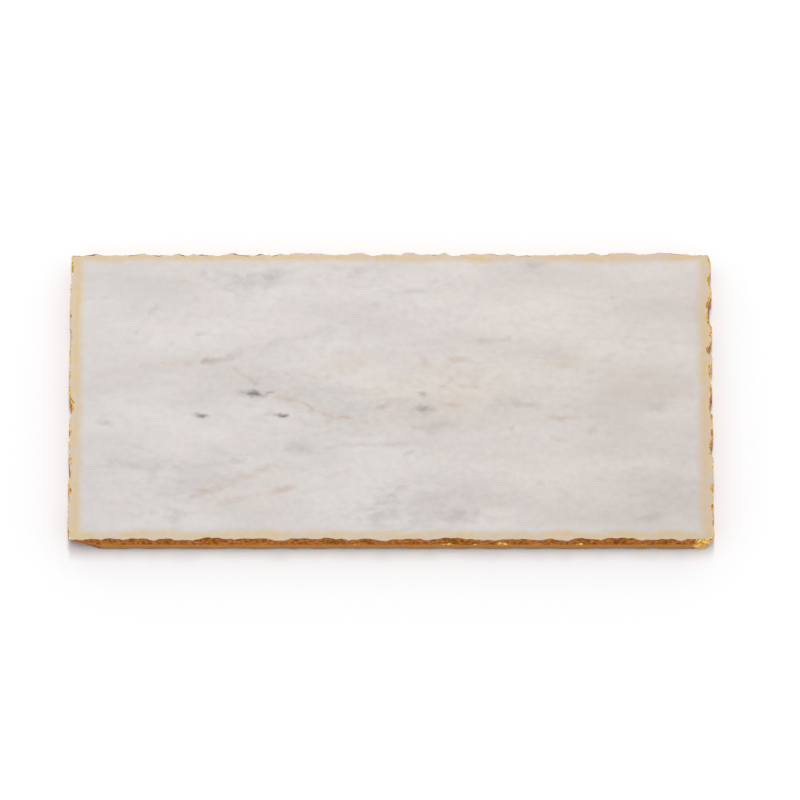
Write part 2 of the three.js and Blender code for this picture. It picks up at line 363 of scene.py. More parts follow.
def finish_mesh(name, bm, material):
    """Turns a bmesh into an object at the origin, smooth but for its caps and its sharp edges."""
    for face in bm.faces:
        face.smooth = len(face.verts) <= 4
    for edge in bm.edges:
        edge.smooth = len(edge.link_faces) < 2 or edge.calc_face_angle() < SHARP_ANGLE
    mesh = bpy.data.meshes.new(name)
    bm.to_mesh(mesh)
    bm.free()
    mesh.materials.append(material)
    piece = bpy.data.objects.new(name, mesh)
    bpy.context.collection.objects.link(piece)
    return piece


def add_node(tree, kind, inputs, **settings):
    """Adds a node. inputs maps a socket's name or number to a value, or to the output that feeds it."""
    made = tree.nodes.new(kind)
    for name, value in settings.items():
        setattr(made, name, value)
    for socket, source in inputs.items():
        if isinstance(source, bpy.types.NodeSocket):
            tree.links.new(source, made.inputs[socket])
        else:
            made.inputs[socket].default_value = source
    return made


def linear(hex_colour):
    """An sRGB hex colour as the linear RGBA that a socket takes."""
    parts = [int(hex_colour[i : i + 2], 16) / 255 for i in (1, 3, 5)]
    return (*[c / 12.92 if c <= 0.04045 else ((c + 0.055) / 1.055) ** 2.4 for c in parts], 1.0)


def new_material(name):
    material = bpy.data.materials.new(name)
    material.use_nodes = True
    material.node_tree.nodes.clear()
    return material, material.node_tree


# ==== Marble slab ====
# One slab of white marble with grey and rust veins that run along its length. Its top is honed, and its
# underside is left as sawn. Size and lacquer from the gilding have soaked into the rim and yellowed it.

LEAF_THICKNESS = 0.04 * MM

TONES = {
    "chalk": "#DBD5CF", "cloud": "#ACA5A0", "smoke": "#9D9493", "ash": "#8E8785", "slate": "#4B4A55",
    "ink": "#26272F", "sand": "#BDAE94", "rust": "#B29176", "umber": "#94766D",
}

# x, y, half length, half width, tilt in degrees, tone, strength: soft grey clouds first, then the smaller
# clouds, the rust and sand-coloured patches, and last the dark flecks. Millimetres.
PATCHES = [
    (22, -68, 44, 14, 4, "cloud", 0.50),
    (40, -72, 18, 4, 6, "smoke", 0.40),
    (-2, -62, 15, 3, 28, "smoke", 0.40),
    (-6, -72, 11, 6, 20, "smoke", 0.40),
    (163, -58, 26, 18, 15, "cloud", 0.45),
    (-122, -52, 34, 15, 22, "cloud", 0.40),
    (-150, -40, 24, 9, 10, "cloud", 0.40),
    (150, 5, 46, 15, 0, "sand", 0.22),
    (40, 5, 60, 20, 8, "sand", 0.30),
    (-40, -4, 44, 15, -14, "cloud", 0.45),
    (-79, 71, 27, 8, 6, "smoke", 0.34),
    (-88, 70, 9, 5, 0, "ash", 0.34),
    (-71, 75, 7, 3.4, 6, "ash", 0.36),
    (-20, 77, 6.5, 3.2, 8, "smoke", 0.55),
    (-116, 60, 7, 2.6, 8, "cloud", 0.45),
    (-115, 38.5, 5, 1.8, 10, "smoke", 0.27),
    (85, 81, 10, 3.4, 15, "smoke", 0.55),
    (11, 58, 6, 4, 0, "smoke", 0.27),
    (57, 34, 13, 2.8, 7, "ash", 0.38),
    (66, 35, 4, 1.2, 5, "rust", 0.25),
    (104, 21.5, 20, 3.2, 2, "sand", 0.45),
    (87, 23.8, 3, 1.1, 0, "umber", 0.30),
    (75, -5.5, 21, 3, -3, "smoke", 0.40),
    (159, -5, 9, 3.6, 6, "smoke", 0.45),
    (28, -18.5, 15, 4, 5, "smoke", 0.40),
    (-54, -31, 10, 5, 0, "smoke", 0.50),
    (-93, -39.7, 9, 2.2, 12, "smoke", 0.40),
    (-127, -75, 7, 6, 50, "smoke", 0.40),
    (154, -73.6, 7, 3.2, 18, "ash", 0.40),
    (-170, -16, 7, 2.6, -8, "smoke", 0.45),
    (-6, -6.4, 7, 2.5, 10, "umber", 0.49),
    (20, -8, 9, 4.6, 0, "smoke", 0.45),
    (-69, -10.4, 6, 2.2, -8, "smoke", 0.36),
    (-56, -10.6, 5, 1.2, 5, "smoke", 0.30),
    (-82, 1.9, 11, 4, 4, "smoke", 0.60),
    (-26, 19, 22, 9, 8, "sand", 0.32),
    (117, 14.4, 6, 2.8, 0, "sand", 0.30),
    (39, 22.4, 6, 2.8, 10, "rust", 0.32),
    (19, 21, 4, 3.2, 0, "rust", 0.30),
    (38, -5.3, 6.5, 1.7, 0, "rust", 0.46),
    (-66, -57.2, 10.5, 2.4, 12, "rust", 0.36),
    (-110, -58.8, 9, 2.6, 25, "rust", 0.33),
    (103, -13.7, 12, 1.9, -2, "rust", 0.43),
    (99.5, -26, 7, 1.8, -20, "sand", 0.55),
    (-46.5, -8, 3.6, 2.2, 60, "rust", 0.34),
    (-28, -13.2, 9, 1.4, -8, "rust", 0.46),
    (-110.5, 20.2, 4, 1.2, 0, "umber", 0.34),
    (-112.3, 75.7, 3.2, 1.6, 0, "umber", 0.18),
    (-123.6, 71.7, 4.4, 1.1, 6, "rust", 0.30),
    (-169.3, 61.3, 3.6, 0.9, 15, "rust", 0.32),
    (-128.7, 33, 3.4, 2.2, 0, "rust", 0.18),
    (-122.4, -52.5, 3, 2.2, 0, "umber", 0.27),
    (11.3, -34.4, 3.6, 2, 10, "ash", 0.36),
    (117.7, -21.6, 3.4, 2.6, 0, "umber", 0.18),
    (71.3, -20.3, 2.4, 1.8, 0, "ash", 0.33),
    (53.7, -34.4, 2.4, 1.8, 0, "ash", 0.30),
    (88, -53.6, 3.4, 2, 0, "smoke", 0.30),
    (19.9, 1.3, 5, 2.2, 0, "slate", 0.40),
    (19.9, -8, 5, 2.8, 5, "slate", 0.45),
    (-112.3, -10.9, 5.6, 1.7, -9, "slate", 0.58),
    (-110.2, -11.4, 2.6, 1, -6, "ink", 0.58),
    (-64, -11.2, 4.8, 1.8, -4, "ink", 0.61),
    (-63, -11.6, 2.4, 0.9, 0, "ink", 0.54),
    (-81.8, 1.9, 8.6, 2.8, 4, "slate", 0.74),
    (-81, 1.4, 4.8, 1.3, 2, "ink", 0.66),
    (-72, 3, 2.8, 1.1, 10, "slate", 0.54),
]

# Points along the vein, half width, tone and strength. The pale ones are healed cracks. Millimetres.
VEINS = [
    ([(-148, 19.6), (-120, 19.9)], 1.8, "rust", 0.35),
    ([(-110, 20.3), (-103, 21.3), (-94.6, 24)], 1.8, "umber", 0.42),
    (
        [(-94.6, 24.6), (-84.5, 30), (-69, 32), (-44, 39.5), (-24, 46.4),
         (-9, 57), (6, 62), (26, 69), (40, 73.5)],
        2.4, "smoke", 0.20,
    ),
    (
        [(-93, 18), (-84.5, 11.7), (-72, 2.4), (-59, -1.6), (-46.7, -6.9),
         (-34, -12.3), (-21.5, -14), (-14, -15)],
        1.4, "rust", 0.38,
    ),
    ([(-9, 2.4), (14, 13), (29, 18.4), (36.5, 25.5)], 3.8, "sand", 0.31),
    ([(30, 6.4), (35.3, 10.9), (40.3, 7.9), (53, 5.6)], 1.6, "rust", 0.38),
    ([(-115, -60.3), (-104.7, -56.3), (-87, -49.6), (-67, -41.6)], 2.7, "rust", 0.28),
    ([(-101, -65.6), (-82, -61), (-62, -56.3), (-51.7, -52.3)], 1.9, "rust", 0.27),
    ([(-39, -31.7), (-19, -30.2), (1.2, -29.6), (16.3, -27.5)], 1.3, "smoke", 0.31),
    ([(131, 61), (133.5, 57), (135, 51.7)], 1.1, "smoke", 0.34),
    ([(-151.4, 38.4), (-145, 47.7), (-138.8, 55.7)], 1.4, "smoke", 0.31),
    ([(-88.6, 65), (-87.6, 72), (-84.5, 79.2)], 0.36, "chalk", 0.40),
    ([(-146.6, 44), (-143, 49.4), (-141, 52)], 0.36, "chalk", 0.30),
    ([(26, 68.4), (33, 71), (40.5, 75.5)], 0.36, "chalk", 0.40),
    ([(-64.4, -53.6), (-58, -49.5), (-44.2, -45.6)], 0.36, "chalk", 0.35),
    ([(180, -24.3), (186, -22.6), (190.5, -21.6)], 0.36, "chalk", 0.40),
    ([(160, -7.5), (166, -5.6), (172, -6)], 0.36, "chalk", 0.30),
    ([(-12.7, -11.8), (0, -10.9)], 0.36, "chalk", 0.30),
    ([(126, -49.6), (133, -56), (140, -61.6)], 0.36, "chalk", 0.25),
]

marble, tree = new_material("honed white marble")
place = add_node(tree, "ShaderNodeTexCoord", {}).outputs["Object"]
in_mm = add_node(
    tree, "ShaderNodeVectorMath", {0: place, 1: (1000, 1000, 0)}, operation="MULTIPLY"
).outputs[0]

# A wide and a fine waver pull every cloud and vein out of true, as the folding of the stone did.
wide_waver = add_node(tree, "ShaderNodeTexNoise", {"Vector": in_mm, "Scale": 1 / 16, "Detail": 3.0})
fine_waver = add_node(tree, "ShaderNodeTexNoise", {"Vector": in_mm, "Scale": 1 / 3.5, "Detail": 4.0})
wavered = in_mm
for waver, reach in ((wide_waver, 6.0), (fine_waver, 1.9)):
    centred = add_node(
        tree,
        "ShaderNodeVectorMath",
        {0: waver.outputs["Color"], 1: (0.5, 0.5, 0.5)},
        operation="SUBTRACT",
    )
    scaled = add_node(
        tree, "ShaderNodeVectorMath", {0: centred.outputs[0], 1: (reach, reach, 0)}, operation="MULTIPLY"
    )
    wavered = add_node(
        tree, "ShaderNodeVectorMath", {0: wavered, 1: scaled.outputs[0]}, operation="ADD"
    ).outputs[0]

# Streaks of the grain, 26 mm long and 7 mm wide, and a finer mottle feather the edges of everything.
grain_space = add_node(
    tree,
    "ShaderNodeMapping",
    {"Vector": wavered, "Rotation": (0, 0, math.radians(6)), "Scale": (1 / 26, 1 / 7, 1)},
)
mottle_space = add_node(
    tree,
    "ShaderNodeMapping",
    {"Vector": wavered, "Rotation": (0, 0, math.radians(24)), "Scale": (1 / 7, 1 / 4, 1)},
)
mottle = add_node(
    tree,
    "ShaderNodeTexNoise",
    {"Vector": mottle_space.outputs[0], "Scale": 1.0, "Detail": 2.5, "Roughness": 0.5},
).outputs["Fac"]
grain = add_node(
    tree,
    "ShaderNodeTexNoise",
    {"Vector": grain_space.outputs[0], "Scale": 1.0, "Detail": 3.0, "Roughness": 0.55},
).outputs["Fac"]
uneven = add_node(
    tree, "ShaderNodeMath", {0: mottle, 1: 1.4, 2: grain}, operation="MULTIPLY_ADD"
).outputs[0]
feather = add_node(
    tree,
    "ShaderNodeMapRange",
    {"Value": uneven, "From Min": 0.72, "From Max": 1.68, "To Min": -0.55, "To Max": 0.55},
).outputs[0]

# The ground: milky white, greyer in broad bands, with a faint sugary crystal.
band_space = add_node(
    tree,
    "ShaderNodeMapping",
    {"Vector": wavered, "Rotation": (0, 0, math.radians(-8)), "Scale": (1 / 95, 1 / 30, 1)},
)
bands = add_node(
    tree, "ShaderNodeTexNoise", {"Vector": band_space.outputs[0], "Scale": 1.0, "Detail": 4.0}
)
band_share = add_node(
    tree, "ShaderNodeMapRange", {"Value": bands.outputs["Fac"], "From Min": 0.38, "From Max": 0.66}
)
ground = add_node(
    tree,
    "ShaderNodeMix",
    {0: band_share.outputs[0], 6: linear("#CAC3BE"), 7: linear("#BCB4AF")},
    data_type="RGBA",
).outputs[2]
grain_share = add_node(
    tree, "ShaderNodeMapRange", {"Value": uneven, "From Min": 1.15, "From Max": 1.6, "To Max": 0.3}
)
ground = add_node(
    tree, "ShaderNodeMix", {0: grain_share.outputs[0], 6: ground, 7: linear("#AEA7A4")}, data_type="RGBA"
).outputs[2]
blush = add_node(tree, "ShaderNodeTexNoise", {"Vector": wavered, "Scale": 1 / 26, "Detail": 3.0})
blush_share = add_node(
    tree,
    "ShaderNodeMapRange",
    {"Value": blush.outputs["Fac"], "From Min": 0.5, "From Max": 0.75, "To Max": 0.4},
)
ground = add_node(
    tree, "ShaderNodeMix", {0: blush_share.outputs[0], 6: ground, 7: linear("#C9BAB3")}, data_type="RGBA"
).outputs[2]

for x, y, half_length, half_width, tilt, tone, strength in PATCHES:
    level = add_node(
        tree,
        "ShaderNodeVectorRotate",
        {"Vector": wavered, "Center": (x, y, 0), "Angle": -math.radians(tilt)},
    )
    local = add_node(
        tree,
        "ShaderNodeVectorMath",
        {
            0: level.outputs[0],
            1: (1 / half_length, 1 / half_width, 1),
            2: (-x / half_length, -y / half_width, 0),
        },
        operation="MULTIPLY_ADD",
    )
    reach = add_node(tree, "ShaderNodeVectorMath", {0: local.outputs[0]}, operation="LENGTH")
    ragged = add_node(
        tree, "ShaderNodeMath", {0: reach.outputs["Value"], 1: feather}, operation="SUBTRACT"
    )
    share = add_node(
        tree,
        "ShaderNodeMapRange",
        {"Value": ragged.outputs[0], "From Min": 1.35, "From Max": -0.2, "To Max": strength},
        interpolation_type="SMOOTHSTEP",
    )
    ground = add_node(
        tree, "ShaderNodeMix", {0: share.outputs[0], 6: ground, 7: linear(TONES[tone])}, data_type="RGBA"
    ).outputs[2]

# A vein fades wherever the mottle runs low.
patchy = add_node(
    tree, "ShaderNodeMapRange",
    {"Value": uneven, "From Min": 0.9, "From Max": 1.4, "To Min": 0.1, "To Max": 1.0},
).outputs[0]
for points, half_width, tone, strength in VEINS:
    nearest = None
    for start, end in zip(points, points[1:]):
        run = Vector((*end, 0)) - Vector((*start, 0))
        from_start = add_node(
            tree, "ShaderNodeVectorMath", {0: wavered, 1: (*start, 0)}, operation="SUBTRACT"
        ).outputs[0]
        share = add_node(
            tree,
            "ShaderNodeVectorMath",
            {0: from_start, 1: run / run.length_squared},
            operation="DOT_PRODUCT",
        )
        clamped = add_node(tree, "ShaderNodeClamp", {0: share.outputs["Value"]})
        nearest_point = add_node(
            tree, "ShaderNodeVectorMath", {0: run, "Scale": clamped.outputs[0]}, operation="SCALE"
        )
        away = add_node(
            tree,
            "ShaderNodeVectorMath",
            {0: from_start, 1: nearest_point.outputs[0]},
            operation="DISTANCE",
        ).outputs["Value"]
        if nearest is not None:
            away = add_node(tree, "ShaderNodeMath", {0: nearest, 1: away}, operation="MINIMUM").outputs[0]
        nearest = away
    share = add_node(
        tree,
        "ShaderNodeMapRange",
        {
            "Value": nearest,
            "From Min": 1.7 * half_width,
            "From Max": 0.1 * half_width,
            "To Max": strength,
        },
        interpolation_type="SMOOTHSTEP",
    )
    faded = add_node(tree, "ShaderNodeMath", {0: share.outputs[0], 1: patchy}, operation="MULTIPLY")
    ground = add_node(
        tree, "ShaderNodeMix", {0: faded.outputs[0], 6: ground, 7: linear(TONES[tone])}, data_type="RGBA"
    ).outputs[2]

# Crystals about 0.8 mm across, each a little lighter or darker.
crystals = add_node(tree, "ShaderNodeTexNoise", {"Vector": in_mm, "Scale": 1 / 0.8, "Detail": 2.0})
crystal_light = add_node(
    tree, "ShaderNodeMapRange",
    {"Value": crystals.outputs["Fac"], "From Min": 0.3, "From Max": 0.7, "To Min": 0.975, "To Max": 1.02},
)
ground = add_node(
    tree,
    "ShaderNodeMix",
    {0: 1.0, 6: ground, 7: crystal_light.outputs[0]},
    data_type="RGBA",
    blend_type="MULTIPLY",
).outputs[2]

# The stain is as wide as the size crept in: least at the back, most at the sides. Its inner margin, where
# the size dried last, is the yellowest.
stain_waver = add_node(tree, "ShaderNodeTexNoise", {"Vector": in_mm, "Scale": 1 / 22, "Detail": 4.0})
creep = add_node(
    tree, "ShaderNodeMapRange",
    {
        "Value": stain_waver.outputs["Fac"],
        "From Min": 0.25,
        "From Max": 0.75,
        "To Min": -1.6,
        "To Max": 1.6,
    },
).outputs[0]
apart = add_node(tree, "ShaderNodeSeparateXYZ", {0: in_mm})
half_length = LENGTH / 2 / MM
half_width = WIDTH / 2 / MM
STAIN_WIDTHS = (
    ("X", -1, half_length, 7.4),
    ("X", 1, half_length, 8.4),
    ("Y", -1, half_width, 6.4),
    ("Y", 1, half_width, 5.2),
)
depth_in_stain = None
for axis, sign, half, width in STAIN_WIDTHS:
    from_edge = add_node(
        tree, "ShaderNodeMath", {0: apart.outputs[axis], 1: -sign, 2: half}, operation="MULTIPLY_ADD"
    )
    crept = add_node(tree, "ShaderNodeMath", {0: from_edge.outputs[0], 1: creep}, operation="ADD")
    share = add_node(
        tree, "ShaderNodeMath", {0: crept.outputs[0], 1: width}, operation="DIVIDE"
    ).outputs[0]
    if depth_in_stain is not None:
        share = add_node(
            tree, "ShaderNodeMath", {0: depth_in_stain, 1: share, 2: 0.25}, operation="SMOOTH_MIN"
        ).outputs[0]
    depth_in_stain = share
stain_colour = add_node(tree, "ShaderNodeValToRGB", {0: depth_in_stain})
ramp = stain_colour.color_ramp
ramp.elements[0].position = 0.0
ramp.elements[0].color = linear("#C1AB92")
ramp.elements[1].position = 0.30
ramp.elements[1].color = linear("#C5AE88")
for position, colour in ((0.62, "#C6A96E"), (0.9, "#C5AB79")):
    ramp.elements.new(position).color = linear(colour)
pale_share = add_node(
    tree, "ShaderNodeMapRange",
    {"Value": wide_waver.outputs["Fac"], "From Min": 0.4, "From Max": 0.6, "To Max": 0.85},
).outputs[0]
uneven_stain = add_node(
    tree, "ShaderNodeMix",
    {0: pale_share, 6: stain_colour.outputs[0], 7: linear("#C2AD92")}, data_type="RGBA",
).outputs[2]
stain_share = add_node(
    tree, "ShaderNodeMapRange",
    {"Value": depth_in_stain, "From Min": 1.4, "From Max": 0.6, "To Max": 0.9},
    interpolation_type="SMOOTHSTEP",
)
stained = add_node(
    tree, "ShaderNodeMix", {0: stain_share.outputs[0], 6: ground, 7: uneven_stain}, data_type="RGBA"
).outputs[2]

# The stone is palest and coolest at the left and back. Its darkening towards the front is a painted light
# falloff. Change of red, green and blue for each millimetre.
DRIFT_RIGHTWARDS = (-0.00013, -0.00021, -0.00029)
PAINTED_LIGHT_BACKWARDS = (0.0005, 0.0005, 0.0005)
tone_and_painted_falloff = add_node(
    tree,
    "ShaderNodeVectorMath",
    {0: apart.outputs["X"], 1: DRIFT_RIGHTWARDS, 2: (1, 1, 0.99)},
    operation="MULTIPLY_ADD",
).outputs[0]
# Painted light: darker towards the front, lighter towards the back.
tone_and_painted_falloff = add_node(
    tree,
    "ShaderNodeVectorMath",
    {0: apart.outputs["Y"], 1: PAINTED_LIGHT_BACKWARDS, 2: tone_and_painted_falloff},
    operation="MULTIPLY_ADD",
).outputs[0]
stone_colour = add_node(
    tree, "ShaderNodeVectorMath", {0: stained, 1: tone_and_painted_falloff}, operation="MULTIPLY"
).outputs[0]

# The finish is a little uneven, and the underside keeps the ripple of the gang saw.
finish = add_node(
    tree, "ShaderNodeMapRange", {"Value": fine_waver.outputs["Fac"], "To Min": 0.34, "To Max": 0.48}
).outputs[0]
facing = add_node(tree, "ShaderNodeNewGeometry", {}).outputs["Normal"]
facing_up = add_node(tree, "ShaderNodeSeparateXYZ", {0: facing}).outputs["Z"]
is_under = add_node(tree, "ShaderNodeMath", {0: facing_up, 1: -0.5}, operation="LESS_THAN").outputs[0]
roughness = add_node(
    tree, "ShaderNodeMix", {0: is_under, 2: finish, 3: 0.7}, data_type="FLOAT"
).outputs[0]
saw_marks = add_node(
    tree, "ShaderNodeTexWave",
    {"Vector": in_mm, "Scale": 0.3 / 2.5, "Distortion": 1.5, "Detail": 2.0}, bands_direction="Y",
).outputs["Fac"]
saw_depth = add_node(tree, "ShaderNodeMath", {0: saw_marks, 1: is_under}, operation="MULTIPLY").outputs[0]
relief = add_node(
    tree, "ShaderNodeMath", {0: crystals.outputs["Fac"], 1: 0.05, 2: saw_depth}, operation="MULTIPLY_ADD"
).outputs[0]
bump = add_node(tree, "ShaderNodeBump", {"Strength": 0.25, "Distance": 0.05 * MM, "Height": relief})
shader = add_node(
    tree, "ShaderNodeBsdfPrincipled",
    {"Base Color": stone_colour, "Roughness": roughness, "IOR": 1.5, "Normal": bump.outputs[0]},
)
add_node(tree, "ShaderNodeOutputMaterial", {"Surface": shader.outputs[0]})

bm = broken_walls(LEAF_THICKNESS)
for height in (BOTTOM, TOP):
    rim = [e for e in bm.edges if e.is_boundary and abs(e.verts[0].co.z - height) < 0.01 * MM]
    bmesh.ops.contextual_create(bm, geom=rim)
bmesh.ops.recalc_face_normals(bm, faces=bm.faces)
slab = finish_mesh("marble_block", bm, marble)
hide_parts("marble_slab")
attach(slab, "root")

# ==== Gilded edge ====
# All four edges are brushed with oil size, and sheets of imitation gold leaf, which is brass, are pressed
# on and lacquered. The leaf lies smooth on the sawn band. On the broken stone it is crumpled and patchy
# over the orange-brown size. The size is painted darker in the chip hollows as shade, and the leaf is
# painted yellowest on its crumple ridges as highlight.

leaf, tree = new_material("lacquered brass leaf on orange size")
place = add_node(tree, "ShaderNodeTexCoord", {}).outputs["Object"]
in_mm = add_node(
    tree, "ShaderNodeVectorMath", {0: place, 1: (1000, 1000, 1000)}, operation="MULTIPLY"
).outputs[0]
broken = add_node(tree, "ShaderNodeAttribute", {}, attribute_name="broken").outputs["Fac"]
hollow = add_node(tree, "ShaderNodeAttribute", {}, attribute_name="hollow").outputs["Fac"]
bright = add_node(tree, "ShaderNodeAttribute", {}, attribute_name="bright").outputs["Fac"]
ledge = add_node(tree, "ShaderNodeAttribute", {}, attribute_name="ledge").outputs["Fac"]

# Brush marks of the size lie along the sawn band, 14 mm long and 0.7 mm wide.
brush_space = add_node(tree, "ShaderNodeMapping", {"Vector": in_mm, "Scale": (1 / 14, 1 / 14, 1 / 0.7)})
brush = add_node(
    tree, "ShaderNodeTexNoise", {"Vector": brush_space.outputs[0], "Scale": 1.0, "Detail": 3.0}
).outputs["Fac"]
fleck_space = add_node(tree, "ShaderNodeMapping", {"Vector": in_mm, "Scale": (1 / 2.1, 1 / 2.1, 1 / 2.6)})
crumple = add_node(
    tree,
    "ShaderNodeTexNoise",
    {"Vector": fleck_space.outputs[0], "Scale": 1.0, "Detail": 3.0, "Roughness": 0.6},
).outputs["Fac"]
blotch = add_node(
    tree, "ShaderNodeTexNoise", {"Vector": in_mm, "Scale": 1 / 9, "Detail": 3.0}
).outputs["Fac"]

band_share = add_node(tree, "ShaderNodeMapRange", {"Value": brush, "From Min": 0.3, "From Max": 0.7})
band_colour = add_node(
    tree,
    "ShaderNodeMix",
    {0: band_share.outputs[0], 6: linear("#AE7216"), 7: linear("#C48622")},
    data_type="RGBA",
).outputs[2]
# Painted shade: the size is darkest in the chip hollows, and the crumple makes it uneven.
thin_leaf_and_shade = add_node(
    tree, "ShaderNodeMath", {0: hollow, 1: 0.12, 2: crumple}, operation="MULTIPLY_ADD"
).outputs[0]
thin_leaf_and_shade_share = add_node(
    tree, "ShaderNodeMapRange", {"Value": thin_leaf_and_shade, "From Min": 0.4, "From Max": 0.62}
).outputs[0]
size_and_shade_colour = add_node(
    tree, "ShaderNodeMix", {0: thin_leaf_and_shade_share, 6: linear("#CC7C1E"), 7: linear("#8C4C08")}, data_type="RGBA"
).outputs[2]

# The leaf lies bright over the size where blotch and crumple together pass a threshold. The threshold is
# lowered near the top and on the ends as painted light, and at the ledges as painted glints.
patch = add_node(tree, "ShaderNodeMix", {0: 0.45, 2: blotch, 3: crumple}, data_type="FLOAT").outputs[0]
patch = add_node(
    tree, "ShaderNodeMath", {0: bright, 1: 0.55, 2: patch}, operation="MULTIPLY_ADD"
).outputs[0]
# Painted glints at the ledges.
patch = add_node(
    tree, "ShaderNodeMath", {0: ledge, 1: 0.1, 2: patch}, operation="MULTIPLY_ADD"
).outputs[0]
leaf_share = add_node(
    tree, "ShaderNodeMapRange", {"Value": patch, "From Min": 0.74, "From Max": 0.82}
).outputs[0]
# Painted highlight: the leaf is yellowest on the crumple ridges of the bump and darker between them.
ridge_sparkle_share = add_node(
    tree, "ShaderNodeMapRange", {"Value": crumple, "From Min": 0.4, "From Max": 0.6}
).outputs[0]
leaf_with_ridge_sparkle = add_node(
    tree, "ShaderNodeMix", {0: ridge_sparkle_share, 6: linear("#CE9030"), 7: linear("#FFD468")}, data_type="RGBA"
).outputs[2]
broken_colour = add_node(
    tree, "ShaderNodeMix", {0: leaf_share, 6: size_and_shade_colour, 7: leaf_with_ridge_sparkle}, data_type="RGBA"
).outputs[2]
leaf_colour = add_node(
    tree, "ShaderNodeMix", {0: broken, 6: band_colour, 7: broken_colour}, data_type="RGBA"
)

leaf_gloss = add_node(
    tree, "ShaderNodeMix", {0: leaf_share, 2: 0.5, 3: 0.26}, data_type="FLOAT"
).outputs[0]
gloss = add_node(tree, "ShaderNodeMix", {0: broken, 2: 0.42, 3: leaf_gloss}, data_type="FLOAT").outputs[0]
relief = add_node(tree, "ShaderNodeMix", {0: broken, 2: brush, 3: crumple}, data_type="FLOAT").outputs[0]
strength = add_node(tree, "ShaderNodeMix", {0: broken, 2: 0.25, 3: 0.9}, data_type="FLOAT").outputs[0]
bump = add_node(tree, "ShaderNodeBump", {"Strength": strength, "Distance": 0.35 * MM, "Height": relief})
shader = add_node(
    tree, "ShaderNodeBsdfPrincipled",
    {
        "Base Color": leaf_colour.outputs[2],
        "Metallic": 1.0,
        "Roughness": gloss,
        "Normal": bump.outputs[0],
    },
)
add_node(tree, "ShaderNodeOutputMaterial", {"Surface": shader.outputs[0]})

bm = broken_walls(0)
bmesh.ops.recalc_face_normals(bm, faces=bm.faces)
bmesh.ops.solidify(bm, geom=list(bm.faces), thickness=LEAF_THICKNESS)
gilding = finish_mesh("gilding", bm, leaf)
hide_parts("gilded_edge")
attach(gilding, "root")

# ==== Bumpers ====
# Four low domes of clear silicone rubber keep the stone off the furniture. Each is moulded with a flat
# foot, a dimple where the rubber was let in, and a thin rim at its widest. It is stuck on by its flat back.

# Clear silicone is a little cloudy, and dust clings to it in specks of about 0.6 mm. So the domes look
# milky, and their gloss is patchy.
silicone, tree = new_material("clear silicone rubber")
place = add_node(tree, "ShaderNodeTexCoord", {}).outputs["Object"]
dust = add_node(
    tree, "ShaderNodeTexNoise", {"Vector": place, "Scale": 1 / (0.6 * MM), "Detail": 3.0}
).outputs["Fac"]
gloss = add_node(tree, "ShaderNodeMapRange", {"Value": dust, "To Min": 0.12, "To Max": 0.3}).outputs[0]
bump = add_node(tree, "ShaderNodeBump", {"Strength": 0.2, "Distance": 0.02 * MM, "Height": dust})
shader = add_node(
    tree, "ShaderNodeBsdfPrincipled",
    {
        "Base Color": linear("#DDE1E0"), "Roughness": gloss, "IOR": 1.41, "Transmission Weight": 0.3,
        "Normal": bump.outputs[0],
    },
)
add_node(tree, "ShaderNodeOutputMaterial", {"Surface": shader.outputs[0]})

CORNERS = ("front_left", "front_right", "back_left", "back_right")
AROUND = 64
SHOULDER_STEPS = 12
BUMPER_SHOULDER = 1.3 * MM
BUMPER_RIM = 0.15 * MM
DIMPLE = (0.5 * MM, 0.12 * MM)


def turned(name, profile, centre, material, wobble=0.0):
    """A closed solid turned about the upright axis through centre. The profile holds points of radius and
    height, and starts and ends on the axis."""
    bm = bmesh.new()
    bmesh.ops.create_grid(bm, x_segments=len(profile) - 1, y_segments=AROUND, size=0.5)
    for vert in bm.verts:
        radius, height = profile[round((vert.co.x + 0.5) * (len(profile) - 1))]
        turn = 2 * math.pi * round((vert.co.y + 0.5) * AROUND) / AROUND
        radius *= 1 + wobble * noise.noise(
            Vector((2 * math.cos(turn), 2 * math.sin(turn), centre[0] * 99))
        )
        vert.co = (centre[0] + radius * math.cos(turn), centre[1] + radius * math.sin(turn), height)
    bmesh.ops.remove_doubles(bm, verts=bm.verts, dist=0.001 * MM)
    bmesh.ops.recalc_face_normals(bm, faces=bm.faces)
    return finish_mesh(name, bm, material)


for corner in CORNERS:
    low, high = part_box(f"bumper_{corner}")
    radius = (high.x - low.x) / 2
    height = high.z - low.z - BUMPER_RIM
    profile = [(0, low.z + DIMPLE[1]), (DIMPLE[0], low.z + DIMPLE[1]), (2 * DIMPLE[0], low.z)]
    for i in range(SHOULDER_STEPS + 1):
        turn = math.pi / 2 * i / SHOULDER_STEPS
        flat = radius - BUMPER_SHOULDER
        profile.append((flat + BUMPER_SHOULDER * math.sin(turn), low.z + height * (1 - math.cos(turn))))
    profile += [(radius, high.z), (0, high.z)]
    dome = turned(f"silicone_dome_{corner}", profile, (low + high) / 2, silicone)
    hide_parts(f"bumper_{corner}")
    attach(dome, "root")

# ==== Adhesive discs ====
# A disc of clear acrylic tape under each bumper, die-cut a little smaller than it. The film is soft, so its
# cut edge has bulged and wandered, and fine air bubbles are caught in it.

# Acrylic tape dries faintly yellow, and its bubbles, about 0.7 mm apart, show as pale specks.
tape, tree = new_material("clear acrylic tape, slightly yellow")
place = add_node(tree, "ShaderNodeTexCoord", {}).outputs["Object"]
bubbles = add_node(
    tree, "ShaderNodeTexVoronoi", {"Vector": place, "Scale": 1 / (0.7 * MM)}
).outputs["Distance"]
bubble_share = add_node(
    tree, "ShaderNodeMapRange", {"Value": bubbles, "From Min": 0.3, "From Max": 0.2}
).outputs[0]
tape_colour = add_node(
    tree, "ShaderNodeMix", {0: bubble_share, 6: linear("#DDD6C2"), 7: linear("#F4F1E8")}, data_type="RGBA"
).outputs[2]
shader = add_node(
    tree, "ShaderNodeBsdfPrincipled",
    {"Base Color": tape_colour, "Roughness": 0.35, "IOR": 1.47, "Transmission Weight": 0.2},
)
add_node(tree, "ShaderNodeOutputMaterial", {"Surface": shader.outputs[0]})

